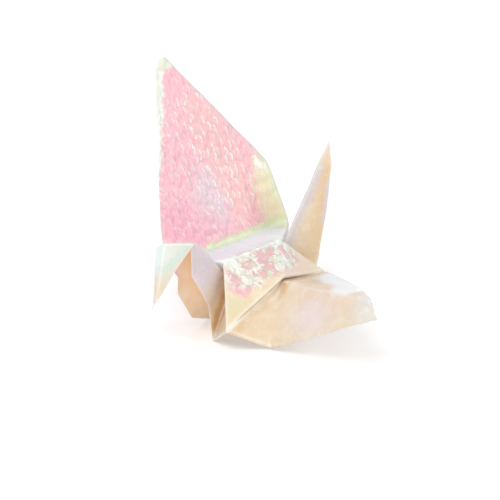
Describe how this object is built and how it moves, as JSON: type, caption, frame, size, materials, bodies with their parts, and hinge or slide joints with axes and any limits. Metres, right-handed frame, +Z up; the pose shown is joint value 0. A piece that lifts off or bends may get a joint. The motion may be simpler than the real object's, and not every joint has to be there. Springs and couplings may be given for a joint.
{
  "type": "origami crane",
  "caption": "Folded paper crane with one wing raised and one lowered, a bent head, an upright tail and an open belly.",
  "frame": {"origin": "on the ground, under the middle of the crane's bounding box", "axes": "+Z up, +X from the head to the tail, +Y from the lowered wing to the raised wing"},
  "size_m": [0.0458, 0.0636, 0.0455],
  "materials": {
    "pearl_paper": "embossed paper with a pearl film that shows pink, lilac and green"
  },
  "bodies": {
    "root": {"folded_sheet": "pearl_paper"}
  },
  "joints": []
}
